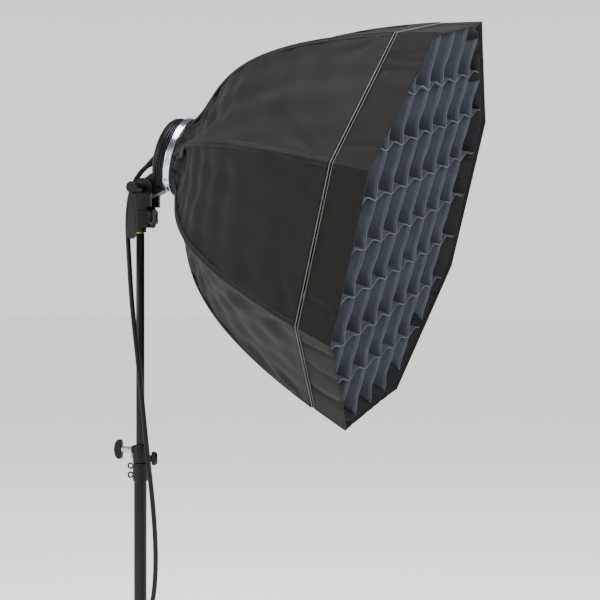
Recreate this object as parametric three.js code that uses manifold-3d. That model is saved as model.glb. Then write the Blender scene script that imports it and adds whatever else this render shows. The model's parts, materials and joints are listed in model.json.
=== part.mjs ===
// Octagonal studio softbox on a small flash head, held by a tilt bracket on a stand column.
// Millimetres, +Z up. Origin: middle of the lower tube's bottom end. The light heads along +X, tipped down.

import * as THREE from 'three';
import { mergeVertices } from 'three/addons/utils/BufferGeometryUtils.js';
import Module from 'manifold-3d';

const wasm = await Module();
wasm.setup();

// Driving dimensions

const GAP = 0.3; // between touching pieces
const SIDES = 8; // of the octagon
const STEP = (2 * Math.PI) / SIDES;
const HALF_STEP = STEP / 2;
const WIDTH_ACROSS_FLATS = 600;
const RIM_RADIUS = WIDTH_ACROSS_FLATS / 2 / Math.cos(HALF_STEP); // to a corner
const DEPTH = 390; // head ring to front rim, along the light axis
const RIB_BEZIER = [[15.5, 63.3], [80, 121.6], [24, 222.5], [DEPTH, RIM_RADIUS]]; // [axial, corner radius]
const SEAM = 0.945; // rib parameter of the seam between the side panels and the lip
const CLOTH = 1.4;
const ROD_RADIUS = 2.5;
const ROD_INSET = 7; // rod axis below the cloth at a corner

const RING_CENTRE = new THREE.Vector3(66.9, 0, 848.7);
const PITCH = THREE.MathUtils.degToRad(16.4); // light axis below horizontal
const FIRST_RIB = THREE.MathUtils.degToRad(79.5); // first rib's angle about the light axis

const BARREL = 50; // radius of the flash head's front barrel
const REAR_FLANGE = 57;
const TILT_AXIS = new THREE.Vector3(12, 0, 798);
const TILT_DISC = 17;
const ARM_HALF = 12; // half the arm's width along the tilt axis

const TUBE_TOP = 729;
const UPPER_TUBE = 6.6;
const UPPER_END = 300;
const COLLAR = [341.6, 370, 398]; // bottom, parting line and top of the stand's locking collar
const COLLAR_RADIUS = 11.8;
const LOWER_TUBE = 10;
const LOWER_BORE = 8.5;
const END_PLUG = 4;

const LEAD = 3.8; // radius of the cable
const COIL = { centre: 66, height: 78, turn: 42, half: 12.2, heading: -30 }; // heading in degrees

// Colours and finishes

const finish = (color, roughness, metalness = 0) =>
  new THREE.MeshStandardMaterial({ color, roughness, metalness });
const BLACK_CLOTH = finish(0x232323, 0.9);
const GRID_CLOTH = finish(0x2b3038, 0.7);
const WHITE_CLOTH = finish(0xf1f0ea, 0.8);
const BLACK_PLASTIC = finish(0x17181a, 0.5);
const GREY_PLASTIC = finish(0x4a4b4d, 0.5);
const RUBBER = finish(0x121212, 0.8);
const BRIGHT_METAL = finish(0xc4cad6, 0.25, 1);
const BLACK_METAL = finish(0x111112, 0.4, 0.6);
const STEEL = finish(0x9a9a9a, 0.35, 1);
const BRASS = finish(0xb08d4a, 0.35, 1);
const GLASS = finish(0xe8edf0, 0.1);
const BOARD = finish(0x1f4a33, 0.6);
const FIBREGLASS = finish(0x2a2a2c, 0.4);

// Small helpers

const degrees = THREE.MathUtils.degToRad;
const vector = (x, y, z) => new THREE.Vector3(x, y, z);

function signedVolume(geometry) {
  const p = geometry.attributes.position;
  const index = geometry.index.array;
  const corner = (i) => new THREE.Vector3().fromBufferAttribute(p, index[i]);
  let sum = 0;
  for (let i = 0; i < index.length; i += 3) {
    sum += corner(i).dot(corner(i + 1).cross(corner(i + 2)));
  }
  return sum / 6;
}

// One closed body with shared vertices and its faces pointing out
function closed(geometry) {
  const bare = geometry.clone();
  bare.deleteAttribute('normal');
  bare.deleteAttribute('uv');
  const body = mergeVertices(bare, 1e-4);
  if (signedVolume(body) < 0) {
    body.index.array.reverse();
  }
  return body;
}

function solid(geometry) {
  const body = closed(geometry);
  const vertProperties = new Float32Array(body.attributes.position.array);
  const triVerts = new Uint32Array(body.index.array);
  return new wasm.Manifold(new wasm.Mesh({ numProp: 3, vertProperties, triVerts }));
}

function geometryOf(body) {
  const mesh = body.getMesh();
  const geometry = new THREE.BufferGeometry();
  geometry.setAttribute('position', new THREE.BufferAttribute(new Float32Array(mesh.vertProperties), 3));
  geometry.setIndex(Array.from(mesh.triVerts));
  return geometry;
}

const union = (...parts) => geometryOf(parts.map(solid).reduce((a, b) => a.add(b)));
const cut = (geometry, ...tools) => geometryOf(tools.map(solid).reduce((a, b) => a.subtract(b), solid(geometry)));
const common = (a, b) => geometryOf(solid(a).intersect(solid(b)));

// Profile points are [radius, z]; the body turns about z
function lathe(points, segments = 28) {
  const profile = points.map(([r, z]) => new THREE.Vector2(r, z));
  const onAxis = points[0][0] === 0 && points[points.length - 1][0] === 0;
  if (!onAxis) {
    profile.push(profile[0].clone());
  }
  return closed(new THREE.LatheGeometry(profile, segments).rotateX(Math.PI / 2));
}

const disc = (radius, low, high, segments = 24) =>
  lathe([[0, low], [radius, low], [radius, high], [0, high]], segments);

const ring = (inner, outer, low, high, segments = 28) =>
  lathe([[inner, low], [outer, low], [outer, high], [inner, high]], segments);

// A body about z laid along a direction, from a point
function along(geometry, start, direction) {
  const turn = new THREE.Quaternion().setFromUnitVectors(vector(0, 0, 1), direction.clone().normalize());
  return geometry.applyQuaternion(turn).translate(start.x, start.y, start.z);
}

const rod = (start, end, radius, segments = 16) =>
  along(disc(radius, 0, start.distanceTo(end), segments), start, end.clone().sub(start));

function box(low, high) {
  const size = high.map((value, i) => value - low[i]);
  const middle = high.map((value, i) => (value + low[i]) / 2);
  return new THREE.BoxGeometry(...size).translate(...middle);
}

function polygon(points) {
  return new THREE.Shape(points.map(([x, y]) => new THREE.Vector2(x, y)));
}

function plate(shape, low, high) {
  return new THREE.ExtrudeGeometry(shape, { depth: high - low, bevelEnabled: false }).translate(0, 0, low);
}

// A plate in the XZ plane, from y = low to y = high
function sidePlate(shape, low, high) {
  return plate(shape, low, high).applyMatrix4(new THREE.Matrix4().makeBasis(
    vector(1, 0, 0), vector(0, 0, 1), vector(0, -1, 0))).translate(0, low + high, 0);
}

// Rows of points, joined ring to ring and closed by a flat fan at each end
function loft(rows) {
  const count = rows[0].length;
  const positions = rows.flat().flatMap((p) => [p.x, p.y, p.z]);
  const index = [];
  for (let i = 0; i + 1 < rows.length; i += 1) {
    for (let j = 0; j < count; j += 1) {
      const a = i * count + j;
      const b = i * count + ((j + 1) % count);
      index.push(a, b, a + count, b, b + count, a + count);
    }
  }
  const last = (rows.length - 1) * count;
  for (let j = 1; j + 1 < count; j += 1) {
    index.push(0, j + 1, j, last, last + j, last + j + 1);
  }
  const geometry = new THREE.BufferGeometry();
  geometry.setAttribute('position', new THREE.Float32BufferAttribute(positions, 3));
  geometry.setIndex(index);
  return closed(geometry);
}

function piece(parent, name, geometry, material) {
  const mesh = new THREE.Mesh(geometry, material);
  mesh.name = name;
  parent.add(mesh);
  return mesh;
}

// The rib line: a Bezier curve of [axial, radius], moved inwards by inset along its own normal

function ribPoint(t, inset = 0) {
  const u = 1 - t;
  const [a, b, c, d] = RIB_BEZIER;
  const at = (k) => u ** 3 * a[k] + 3 * u * u * t * b[k] + 3 * u * t * t * c[k] + t ** 3 * d[k];
  const slope = (k) => 3 * (u * u * (b[k] - a[k]) + 2 * u * t * (c[k] - b[k]) + t * t * (d[k] - c[k]));
  const length = Math.hypot(slope(0), slope(1));
  return { axial: at(0) + (inset * slope(1)) / length, radius: at(1) - (inset * slope(0)) / length };
}

class RibCurve extends THREE.Curve {
  constructor(angle, inset, end) {
    super();
    Object.assign(this, { angle, inset, end });
  }

  getPoint(t, target = new THREE.Vector3()) {
    const { axial, radius } = ribPoint(t * this.end, this.inset);
    return target.set(radius * Math.cos(this.angle), radius * Math.sin(this.angle), axial);
  }
}

// A point of side panel i: across is the distance from its middle line, in the panel's own plane
function panelPoint(i, t, inset, across) {
  const { axial, radius } = ribPoint(t, inset);
  const middle = (i + 0.5) * STEP;
  const flat = radius * Math.cos(HALF_STEP);
  return vector(
    flat * Math.cos(middle) - across * Math.sin(middle),
    flat * Math.sin(middle) + across * Math.cos(middle),
    axial,
  );
}

const halfPanel = (t, inset) => ribPoint(t, inset).radius * Math.sin(HALF_STEP);

// An octagon whose corners are cut square to leave room for the rods
function cutOctagon(flat, corner) {
  const side = (flat - corner * Math.cos(HALF_STEP)) / Math.sin(HALF_STEP);
  const points = [];
  for (let i = 0; i < SIDES; i += 1) {
    const c = Math.cos(i * STEP);
    const s = Math.sin(i * STEP);
    points.push([corner * c + side * s, corner * s - side * c]);
    points.push([corner * c - side * s, corner * s + side * c]);
  }
  return points;
}

const atHeight = (points, z) => points.map(([x, y]) => vector(x, y, z));

// Softbox: cover, lip, rods, speedring, diffusers, grid

function shellPanel(i) {
  const rows = [];
  const steps = 11;
  for (let k = 0; k <= steps; k += 1) {
    const t = (SEAM * k) / steps;
    const outer = halfPanel(t, 0) - GAP;
    const inner = halfPanel(t, CLOTH) - GAP;
    rows.push([
      panelPoint(i, t, 0, -outer),
      panelPoint(i, t, 0, outer),
      panelPoint(i, t, CLOTH, inner),
      panelPoint(i, t, CLOTH, -inner),
    ]);
  }
  return loft(rows);
}

function frontLip() {
  const seam = ribPoint(SEAM + 0.003);
  const seamInside = ribPoint(SEAM + 0.003, CLOTH);
  const rim = ribPoint(1);
  const rimInside = ribPoint(1, CLOTH);
  const points = [seam, rim, rimInside, seamInside].map(({ axial, radius }) => [radius, axial]);
  return lathe(points, SIDES);
}

const tubeAlong = (extrudePath, radius, steps, curveSegments = 4) => new THREE.ExtrudeGeometry(
  new THREE.Shape().absarc(0, 0, radius, 0, 2 * Math.PI),
  { curveSegments, steps, bevelEnabled: false, extrudePath },
);

const ROD_STEPS = 13;
const rodLine = (i) => new RibCurve(i * STEP, ROD_INSET, 0.985);
const ribRod = (i) => tubeAlong(rodLine(i), ROD_RADIUS, ROD_STEPS, 3);

// Each socket lies along its rod's first straight stretch
function speedring() {
  const body = lathe([[50.6, 11.6], [61, 11.6], [61, 14.6], [56, 15.2], [56, 30], [50.6, 30]], 40);
  const sockets = [];
  const holes = [];
  for (let i = 0; i < SIDES; i += 1) {
    const start = rodLine(i).getPointAt(0);
    const heading = rodLine(i).getPointAt(1 / ROD_STEPS).sub(start).normalize();
    const at = (distance) => start.clone().addScaledVector(heading, distance);
    sockets.push(rod(at(-6), at(11), 4.4, 10));
    holes.push(rod(at(-1), at(12), 3, 8));
  }
  return cut(union(body, ...sockets), ...holes);
}

function innerDiffuser() {
  const points = [];
  const flat = 185;
  const tab = 7;
  const root = (flat - tab * Math.sin(HALF_STEP)) / Math.cos(HALF_STEP);
  const tip = 233;
  for (let i = 0; i < SIDES; i += 1) {
    const c = Math.cos(i * STEP);
    const s = Math.sin(i * STEP);
    for (const [out, side] of [[root, -tab], [tip, -tab], [tip, tab], [root, tab]]) {
      points.push([out * c - side * s, out * s + side * c]);
    }
  }
  return plate(polygon(points), 189, 190.2);
}

const FRONT_DIFFUSER = { flat: 281, corner: 296, low: 333, high: 334.2 };

function frontDiffuser() {
  const { flat, corner, low, high } = FRONT_DIFFUSER;
  return plate(polygon(cutOctagon(flat, corner)), low, high);
}

const GRID = { low: 337, high: 386, rear: [281, 297], front: [294, 310], wall: 1.6, pitch: 71, web: 1.4 };

function gridOutline(inset) {
  const { low, high, rear, front } = GRID;
  return loft([
    atHeight(cutOctagon(rear[0] - inset, rear[1] - inset), low),
    atHeight(cutOctagon(front[0] - inset, front[1] - inset), high),
  ]);
}

function gridOpening(inset) {
  const { low, high, rear, front } = GRID;
  const spread = (front[0] - rear[0]) / (high - low);
  return loft([
    atHeight(cutOctagon(rear[0] - inset - spread, rear[1] - inset - spread), low - 1),
    atHeight(cutOctagon(front[0] - inset + spread, front[1] - inset + spread), high + 1),
  ]);
}

const gridHem = () => cut(gridOutline(0), gridOpening(GRID.wall));

function gridLattice() {
  const { low, high, pitch, web } = GRID;
  const webs = [];
  for (let k = -3; k <= 3; k += 1) {
    const middle = k * pitch;
    webs.push(box([-330, middle - web / 2, low + 0.4], [330, middle + web / 2, high - 0.4]));
    webs.push(box([middle - web / 2, -331, low + 1], [middle + web / 2, 331, high - 1]));
  }
  const turned = union(...webs).rotateZ(HALF_STEP);
  return common(turned, gridOutline(GRID.wall + GAP));
}

const FLAP = { panel: 2, from: 0.05, to: 0.27, width: 17, lift: 1.6, cloth: 1.2 };

function accessFlap() {
  const { panel, from, to, width, lift, cloth } = FLAP;
  const rows = [];
  for (let k = 0; k <= 4; k += 1) {
    const t = from + ((to - from) * k) / 4;
    const edge = 1 - halfPanel(t, 0);
    rows.push([
      panelPoint(panel, t, -lift, edge),
      panelPoint(panel, t, -lift, edge + width),
      panelPoint(panel, t, -lift - cloth, edge + width),
      panelPoint(panel, t, -lift - cloth, edge),
    ]);
  }
  return loft(rows);
}

// Flash head

function headHousing() {
  const outline = [[46, -14], [56, -14]];
  for (const groove of [-10.5, -6]) {
    outline.push([REAR_FLANGE, groove - 2], [REAR_FLANGE, groove], [55, groove + 0.5], [55, groove + 2]);
  }
  outline.push([REAR_FLANGE, -3.4], [REAR_FLANGE, -0.4], [BARREL, -0.2], [BARREL, 80], [46, 80]);
  return lathe(outline, 40);
}

const OUTLET = vector(0, 4.4, -25.2); // where the cable's line leaves the rear cap
const OUTLET_HEADING = vector(0, -0.82, -0.572).normalize();
const outletAt = (distance) => OUTLET.clone().addScaledVector(OUTLET_HEADING, distance);

const BUTTON = vector(20, 20, -25);

function rearCap() {
  const shell = lathe([[0, -17], [45.6, -17], [45.6, -14.3], [56, -14.3], [55.4, -18], [52, -22], [46, -24.4],
    [38, -25], [0, -25]], 40);
  const boss = rod(outletAt(-8), outletAt(13.7), 8.5, 20);
  const recess = along(disc(4.4, 0, 5, 16), vector(BUTTON.x, BUTTON.y, -26), vector(0, 0, 1));
  return cut(union(shell, boss), recess);
}

const lampButton = () => disc(4, -26.6, -22.6, 16).translate(BUTTON.x, BUTTON.y, 0);

const cableGland = () => along(
  lathe([[0, 0], [6.6, 0], [6.6, 6], [4.9, 26], [0, 26]], 16), outletAt(14), OUTLET_HEADING);

const lockRing = () => lathe([[50.6, 0.3], [61, 0.3], [62, 1.3], [62, 10.3], [61, 11.3], [50.6, 11.3]], 40);

function heatSink() {
  const fins = 14;
  const points = [];
  for (let i = 0; i < fins; i += 1) {
    for (const [r, part] of [[18, 0], [30, 0.12], [30, 0.5], [18, 0.62]]) {
      const a = ((i + part) * 2 * Math.PI) / fins;
      points.push([r * Math.cos(a), r * Math.sin(a)]);
    }
  }
  return plate(polygon(points), 24, 43);
}

function addFlashHead(head) {
  piece(head, 'head_housing', headHousing(), BLACK_PLASTIC);
  piece(head, 'rear_cap', rearCap(), BLACK_PLASTIC);
  piece(head, 'lamp_button', lampButton(), GREY_PLASTIC);
  piece(head, 'cable_gland', cableGland(), RUBBER);
  piece(head, 'circuit_board', disc(44, 8, 9.6, 24), BOARD);
  piece(head, 'lamp_heat_sink', heatSink(), STEEL);
  piece(head, 'modelling_lamp', lathe([[0, 43.4], [10.5, 43.4], [10.5, 52], [8, 58], [0, 60]], 20), GLASS);
  piece(head, 'reflector_dish', lathe(
    [[12, 50], [30, 54], [44.4, 70], [44.4, 72], [43.4, 72], [29.4, 55.4], [12, 51.4]], 24), BRIGHT_METAL);
  piece(head, 'flash_tube', new THREE.TorusGeometry(21, 3, 6, 20).translate(0, 0, 63), GLASS);
  piece(head, 'glass_cover', lathe(
    [[0, 75], [45.6, 75], [45.6, 78], [36, 81], [18, 83.4], [0, 84]], 24), GLASS);
}

function addSoftbox(softbox) {
  piece(softbox, 'speedring', speedring(), BLACK_PLASTIC);
  for (let i = 0; i < SIDES; i += 1) {
    piece(softbox, `rod_${i + 1}`, ribRod(i), FIBREGLASS);
    piece(softbox, `shell_panel_${i + 1}`, shellPanel(i), BLACK_CLOTH);
  }
  piece(softbox, 'front_lip', frontLip(), BLACK_CLOTH);
  piece(softbox, 'access_flap', accessFlap(), BLACK_CLOTH);
  piece(softbox, 'inner_diffuser', innerDiffuser(), WHITE_CLOTH);
  piece(softbox, 'front_diffuser', frontDiffuser(), WHITE_CLOTH);
  piece(softbox, 'grid_hem', gridHem(), BLACK_CLOTH);
  piece(softbox, 'grid_lattice', gridLattice(), GRID_CLOTH);
}

// Tilt bracket

const tiltDisc = (radius, low, high) =>
  rod(vector(TILT_AXIS.x, low, TILT_AXIS.z), vector(TILT_AXIS.x, high, TILT_AXIS.z), radius, 24);

const toRow = new THREE.Matrix4(); // from the light's own frame to the row frame

function mountArm() {
  const web = polygon([[8, 812], [17, 786], [34, 790], [52, 800], [52, 832], [22, 822]]);
  const arm = union(tiltDisc(TILT_DISC - 0.5, -ARM_HALF, ARM_HALF), sidePlate(web, -ARM_HALF, ARM_HALF));
  const clearance = 0.4;
  const head = lathe([[0, -30], [44, -25.8], [53, -22.4], [56.6, -18], [REAR_FLANGE + clearance, -13],
    [REAR_FLANGE + clearance, 20], [0, 20]], 48).applyMatrix4(toRow);
  return cut(arm, head, tiltDisc(4.4, -ARM_HALF - 1, ARM_HALF + 1));
}

function bracketBody() {
  const ears = [];
  for (const side of [-1, 1]) {
    const [low, high] = [side * 14.2, side * 21].sort((a, b) => a - b);
    ears.push(tiltDisc(TILT_DISC, low, high));
    ears.push(box([TILT_AXIS.x - 15, low, 770], [TILT_AXIS.x + 13, high, TILT_AXIS.z]));
  }
  const root = box([-6, -21, 766], [17.3, 21, 779.5]);
  const socket = rod(vector(0, 0, 731), vector(0, 0, 779), 9.6, 24);
  const boss = box([0, -9.5, 738], [17, 9.5, 768]);
  const bore = rod(vector(0, 0, 720), vector(0, 0, 774), 6.5, 24);
  const screwHole = rod(vector(7.5, 0, 754.5), vector(20, 0, 754.5), 3.2, 12);
  return cut(union(root, socket, boss, ...ears), bore, screwHole, tiltDisc(4.4, -30, 30));
}

function tiltLever() {
  const shape = new THREE.Shape();
  const { x, z } = TILT_AXIS;
  shape.moveTo(x - 6.4, z - 4);
  shape.lineTo(x - 10.5, z - 70);
  shape.absarc(x - 4.5, z - 72, 7, Math.PI, 2 * Math.PI);
  shape.lineTo(x + 6.4, z - 8);
  shape.lineTo(x + 6.4, z - 4);
  shape.closePath();
  return cut(sidePlate(shape, -57, -49), tiltDisc(9.4, -60, -40));
}

function clampKnob() {
  const lobes = 6;
  const points = [];
  for (let i = 0; i < lobes * 4; i += 1) {
    const a = (i * 2 * Math.PI) / (lobes * 4);
    const r = 15.6 + 1.9 * Math.cos(lobes * a);
    points.push([r * Math.cos(a), r * Math.sin(a)]);
  }
  return plate(polygon(points), 0, 7.5).rotateY(Math.PI / 2).translate(17.6, 0, 754.5);
}

function addBracket(bracket) {
  piece(bracket, 'bracket_body', bracketBody(), BLACK_PLASTIC);
  const across = vector(0, 1, 0);
  const nut = along(disc(7.6, 0, 4.5, 6), vector(TILT_AXIS.x, 21.3, TILT_AXIS.z), across);
  piece(bracket, 'tilt_bolt', union(tiltDisc(4, -41.6, 23), nut), STEEL);
  for (const [i, side] of [[1, -1], [2, 1]]) {
    const washer = along(ring(4.4, 15, 0, 1.4, 20), vector(TILT_AXIS.x, 12.4, TILT_AXIS.z), across);
    piece(bracket, `friction_washer_${i}`, closed(washer.scale(1, side, 1)), GREY_PLASTIC);
  }
  const sleeve = along(ring(4.3, 7, 0, 21, 20), vector(TILT_AXIS.x, -42.4, TILT_AXIS.z), across);
  piece(bracket, 'lever_hub', union(tiltDisc(9, -65, -42), sleeve), BLACK_PLASTIC);
  piece(bracket, 'tilt_lever', tiltLever(), GREY_PLASTIC);
  piece(bracket, 'clamp_knob', clampKnob(), BLACK_PLASTIC);
  piece(bracket, 'clamp_screw', rod(vector(8.2, 0, 754.5), vector(17.2, 0, 754.5), 2.8, 12), STEEL);
}

// Stand column

const TEE = { z: 390.7, stem: [-30.5, -13.6] };

function collarHalf(low, high, inner) {
  const edge = 1.2;
  return lathe([[inner, low], [COLLAR_RADIUS - edge, low], [COLLAR_RADIUS, low + edge],
    [COLLAR_RADIUS, high - edge], [COLLAR_RADIUS - edge, high], [inner, high]], 24);
}

function collarUpper() {
  const [, parting, top] = COLLAR;
  const boss = rod(vector(-8, 0, TEE.z), vector(-13.2, 0, TEE.z), 6.2, 16);
  const knobBoss = rod(vector(8, 4, 376.5), vector(15.2, 7.6, 376.5), 5.5, 16);
  const ribs = [379, 382, 385].map((z) => box([-14, -4, z - 0.8], [-10, 4, z + 0.8]));
  const tool = rod(vector(0, 0, parting - 9), vector(0, 0, top + 9), UPPER_TUBE + 1.6, 24);
  return cut(union(collarHalf(parting + 0.2, top, UPPER_TUBE + 1.6), boss, knobBoss, ...ribs), tool);
}

function tieRing(z) {
  const loop = new THREE.TorusGeometry(4.1, 1.4, 6, 14).rotateX(Math.PI / 2).translate(-16.4, 0, z);
  const stub = box([-13.2, -1.3, z - 2.6], [-11, 1.3, z + 2.6]);
  return union(loop, stub);
}

function addStand(column, stand) {
  const [bottom, parting, top] = COLLAR;
  piece(column, 'upper_tube', ring(5.4, UPPER_TUBE, UPPER_END, TUBE_TOP, 24), BLACK_METAL);
  piece(column, 'guide_plug', lathe([[0, 288], [8.2, 288], [8.2, 299.6], [0, 299.6]], 20), BLACK_PLASTIC);
  piece(column, 'brass_spigot', lathe([[0, TUBE_TOP + GAP], [6.6, TUBE_TOP + GAP], [6.6, TUBE_TOP + 1.7],
    [6, TUBE_TOP + 1.7], [6, 744], [5, 746], [5, 752], [6, 754], [6, 771], [0, 771]], 20), BRASS);
  piece(stand, 'collar_upper', collarUpper(), BLACK_PLASTIC);
  const collarLower = union(collarHalf(bottom, parting - 0.2, UPPER_TUBE + 1.6), tieRing(365.2), tieRing(351));
  piece(stand, 'collar_lower', cut(collarLower, disc(LOWER_TUBE + GAP, bottom - 1, 352.3)), BLACK_PLASTIC);
  piece(stand, 'collar_bush', ring(UPPER_TUBE + 0.25, UPPER_TUBE + 1.2, 353, top - 1, 24), GREY_PLASTIC);
  piece(stand, 'lower_tube', lathe([[0, 0], [LOWER_TUBE, 0], [LOWER_TUBE, 352], [LOWER_BORE, 352],
    [LOWER_BORE, END_PLUG], [0, END_PLUG]], 24), BLACK_METAL);
}

function addKnobs(stand) {
  const tee = sidePlate(polygon([[-37.5, -15.5], [-32, -15], [-30.8, -11], [-30.8, 11], [-32, 15], [-37.5, 15.5],
    [-41.5, 10], [-43.5, 0], [-41.5, -10]].map(([x, z]) => [x, z + TEE.z])), -5.5, 5.5);
  piece(stand, 'tee_knob', tee, BLACK_PLASTIC);
  piece(stand, 'tee_knob_shaft', rod(vector(TEE.stem[0], 0, TEE.z), vector(TEE.stem[1], 0, TEE.z), 4.6, 16), STEEL);
  const outward = vector(0.9, 0.44, 0).normalize();
  piece(stand, 'leg_lock_knob', along(lathe([[0, 0], [9.5, 0], [11, 2], [11, 6], [8.5, 9], [0, 9]], 20),
    outward.clone().multiplyScalar(17.4).setZ(376.5), outward), BLACK_PLASTIC);
}

// Cable: leaves the head's outlet, passes behind the lever, runs down the column and is coiled low on it

const coilHeading = degrees(COIL.heading);
const coilPoint = (out, side, z) => [
  out * Math.cos(coilHeading) - side * Math.sin(coilHeading),
  out * Math.sin(coilHeading) + side * Math.cos(coilHeading),
  z,
];
const LEAD_UPPER = [[12.4, 0, 834.8], [8.6, -0.1, 831.7], [3.9, -0.6, 827.4], [-2.4, -2.5, 819], [-8, -5, 808],
  [-12.3, -7.5, 794], [-14.8, -9.8, 778], [-15.8, -11.8, 762], [-15.6, -13.6, 748]];
const LEAD_MIDDLE = [[-15.6, -13.6, 748], [-14.9, -15.2, 734], [-13.7, -16.8, 720], [-12.3, -18.2, 706],
  [-10.7, -19.6, 690], [-9.1, -20.7, 672], [-7.2, -21.5, 648], [-4.6, -21.9, 618], [-1.2, -22, 586],
  [2.6, -21.6, 552], [6.4, -21, 518]];
const LEAD_LOWER = [[6.4, -21, 518], [10, -20.4, 484], [13.2, -20, 452], [16.6, -20, 420], [20, -20.4, 390],
  [23.6, -20.6, 360], [27.2, -20.6, 330], [30.2, -20.4, 300], [32.4, -20, 270], [33.6, -19.6, 242],
  [33.6, -19, 214], [32, -18, 188], [28.6, -16.4, 164], coilPoint(25.4, 0, 144), coilPoint(20.4, 0, 127),
  coilPoint(18, 0, 114)];

function lead(points, radius, stepLength) {
  const path = new THREE.CatmullRomCurve3(points.map(([x, y, z]) => vector(x, y, z)));
  return tubeAlong(path, radius, Math.max(3, Math.round(path.getLength() / stepLength)));
}

// Ends are drawn back by half the gap so that two stretches never overlap
function trimmed(points, atStart, atEnd) {
  const out = points.map((p) => vector(...p));
  const shift = (i, j, distance) => out[i].addScaledVector(out[j].clone().sub(out[i]).normalize(), distance);
  shift(0, 1, atStart);
  shift(out.length - 1, out.length - 2, atEnd);
  return out.map((p) => p.toArray());
}

function coilSolid() {
  const { centre, height, turn, half } = COIL;
  const e = 3;
  const body = lathe([[turn - half, -half + e], [turn - half + e, -half], [turn + half - e, -half],
    [turn + half, -half + e], [turn + half, half - e], [turn + half - e, half], [turn - half + e, half],
    [turn - half, half - e]], 28);
  const [x, y, z] = coilPoint(centre, 0, height);
  return body.rotateX(-Math.PI / 2).rotateZ(coilHeading).translate(x, y, z);
}

function coilTie() {
  const loop = (grow) => {
    const shape = new THREE.Shape();
    const round = 3 + grow;
    const [low, side, high] = [2, 12.9 + grow, 39.4 + grow];
    shape.absarc(low, 0, side, Math.PI / 2, (3 * Math.PI) / 2);
    shape.absarc(high - round, -side + round, round, -Math.PI / 2, 0);
    shape.absarc(high - round, side - round, round, 0, Math.PI / 2);
    shape.closePath();
    return shape;
  };
  const outer = new THREE.ExtrudeGeometry(loop(1.6), { depth: 16, bevelEnabled: false, curveSegments: 5 });
  const inner = new THREE.ExtrudeGeometry(loop(0), { depth: 18, bevelEnabled: false, curveSegments: 5 });
  return cut(outer, inner.translate(0, 0, -1)).rotateZ(coilHeading).translate(0, 0, COIL.height - 8);
}

function addCable(stand, column, bracket) {
  piece(bracket, 'lead_upper', lead(trimmed(LEAD_UPPER, 0, 0.2), LEAD, 12), RUBBER);
  piece(column, 'lead_middle', lead(trimmed(LEAD_MIDDLE, 0.2, 0.2), LEAD, 14), RUBBER);
  piece(stand, 'lead_lower', lead(trimmed(LEAD_LOWER, 0.2, 0), LEAD, 16), RUBBER);
  piece(stand, 'lead_coil', coilSolid(), RUBBER);
  piece(stand, 'coil_tie', coilTie(), BLACK_CLOTH);
  const plugTop = vector(...coilPoint(18, 25.5, 43));
  piece(stand, 'lead_plug', along(lathe([[0, 0], [5, 0], [6.5, 12], [9.4, 14], [9.4, 36], [8.4, 38], [0, 38]], 20),
    plugTop, vector(0, 0, -1)), BLACK_PLASTIC);
  const tail = [coilPoint(22, 13, 62), coilPoint(22, 17, 62), coilPoint(21, 21.8, 59), coilPoint(19, 25, 52),
    coilPoint(18, 25.5, 44)];
  piece(stand, 'lead_tail', lead(tail, LEAD, 6), RUBBER);
}

const softboxObject = new THREE.Group();
const stand = new THREE.Group();
const column = new THREE.Group();
const bracket = new THREE.Group();
const head = new THREE.Group();
const softbox = new THREE.Group();

const upward = vector(Math.sin(PITCH), 0, Math.cos(PITCH));
const forward = vector(Math.cos(PITCH), 0, -Math.sin(PITCH));
toRow.makeBasis(vector(0, 1, 0), upward, forward).setPosition(RING_CENTRE);
head.applyMatrix4(toRow);
softbox.rotation.z = FIRST_RIB;
head.add(softbox);

addStand(column, stand);
addKnobs(stand);
addBracket(bracket);
piece(bracket, 'mount_arm', mountArm(), BLACK_PLASTIC);
addFlashHead(head);
piece(head, 'lock_ring', lockRing(), BRIGHT_METAL);
addSoftbox(softbox);
addCable(stand, column, bracket);
softboxObject.add(stand, column, bracket, head);

export default softboxObject;
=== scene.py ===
# Octagonal studio softbox on a small flash head: cover, grid, head, bracket, column and cable.
# Everything is in metres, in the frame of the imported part. Sizes in the dictionaries are millimetres,
# and places along a rib run from 0 at the ring to 1 at the rim.

import json
import math

import bpy
import bmesh
import mathutils
import numpy as np
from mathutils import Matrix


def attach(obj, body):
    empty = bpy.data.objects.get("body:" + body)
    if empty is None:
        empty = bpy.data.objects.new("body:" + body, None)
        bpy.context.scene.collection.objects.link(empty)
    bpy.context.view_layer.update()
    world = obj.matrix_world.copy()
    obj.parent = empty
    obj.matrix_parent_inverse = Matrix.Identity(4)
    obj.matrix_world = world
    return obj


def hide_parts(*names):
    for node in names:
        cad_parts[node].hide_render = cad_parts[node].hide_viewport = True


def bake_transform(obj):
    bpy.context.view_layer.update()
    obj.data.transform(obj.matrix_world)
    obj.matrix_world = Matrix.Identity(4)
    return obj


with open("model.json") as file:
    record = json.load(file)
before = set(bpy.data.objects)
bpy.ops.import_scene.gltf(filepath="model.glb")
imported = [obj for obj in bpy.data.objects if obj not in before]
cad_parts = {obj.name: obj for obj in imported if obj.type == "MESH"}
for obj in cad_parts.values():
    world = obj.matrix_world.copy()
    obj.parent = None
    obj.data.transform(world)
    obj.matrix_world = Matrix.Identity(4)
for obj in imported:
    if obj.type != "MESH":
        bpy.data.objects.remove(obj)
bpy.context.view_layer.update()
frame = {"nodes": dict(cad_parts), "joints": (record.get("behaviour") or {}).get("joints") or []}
mm = 0.001
rng = np.random.default_rng(7)

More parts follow.
